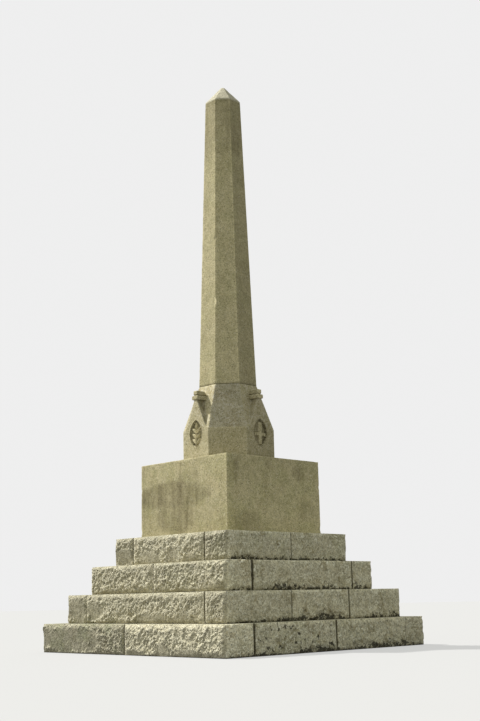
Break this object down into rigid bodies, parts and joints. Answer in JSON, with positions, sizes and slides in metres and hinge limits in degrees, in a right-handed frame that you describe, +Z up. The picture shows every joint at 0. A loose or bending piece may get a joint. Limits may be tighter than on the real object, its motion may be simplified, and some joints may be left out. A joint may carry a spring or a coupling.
{
  "type": "obelisk",
  "caption": "Eight-sided tapering granite obelisk on a gabled base stone, a square die and four rock-faced steps.",
  "frame": {"origin": "middle of the underside of the lowest step", "axes": "+Z up along the shaft, -Y towards the front face of the steps, +X to its right"},
  "size_m": [3.794, 3.794, 8.461],
  "materials": {
    "rock_faced_granite": "matte",
    "dressed_granite": "matte",
    "filling": "matte"
  },
  "bodies": {
    "root": {"step1_left_1": "rock_faced_granite", "step1_left_2": "rock_faced_granite", "step1_right_1": "rock_faced_granite", "step1_right_2": "rock_faced_granite", "step1_front_1": "rock_faced_granite", "step1_front_2": "rock_faced_granite", "step1_back_1": "rock_faced_granite", "step1_back_2": "rock_faced_granite", "step2_left_1": "rock_faced_granite", "step2_right_1": "rock_faced_granite", "step2_front_1": "rock_faced_granite", "step2_front_2": "rock_faced_granite", "step2_front_3": "rock_faced_granite", "step2_back_1": "rock_faced_granite", "step2_back_2": "rock_faced_granite", "step2_back_3": "rock_faced_granite", "step3_left_1": "rock_faced_granite", "step3_left_2": "rock_faced_granite", "step3_right_1": "rock_faced_granite", "step3_right_2": "rock_faced_granite", "step3_front_1": "rock_faced_granite", "step3_back_1": "rock_faced_granite", "step4_left_1": "rock_faced_granite", "step4_right_1": "rock_faced_granite", "step4_front_1": "rock_faced_granite", "step4_front_2": "rock_faced_granite", "step4_back_1": "rock_faced_granite", "step4_back_2": "rock_faced_granite", "core": "filling", "die": "dressed_granite", "base_stone": "dressed_granite", "shaft": "dressed_granite"}
  },
  "joints": []
}
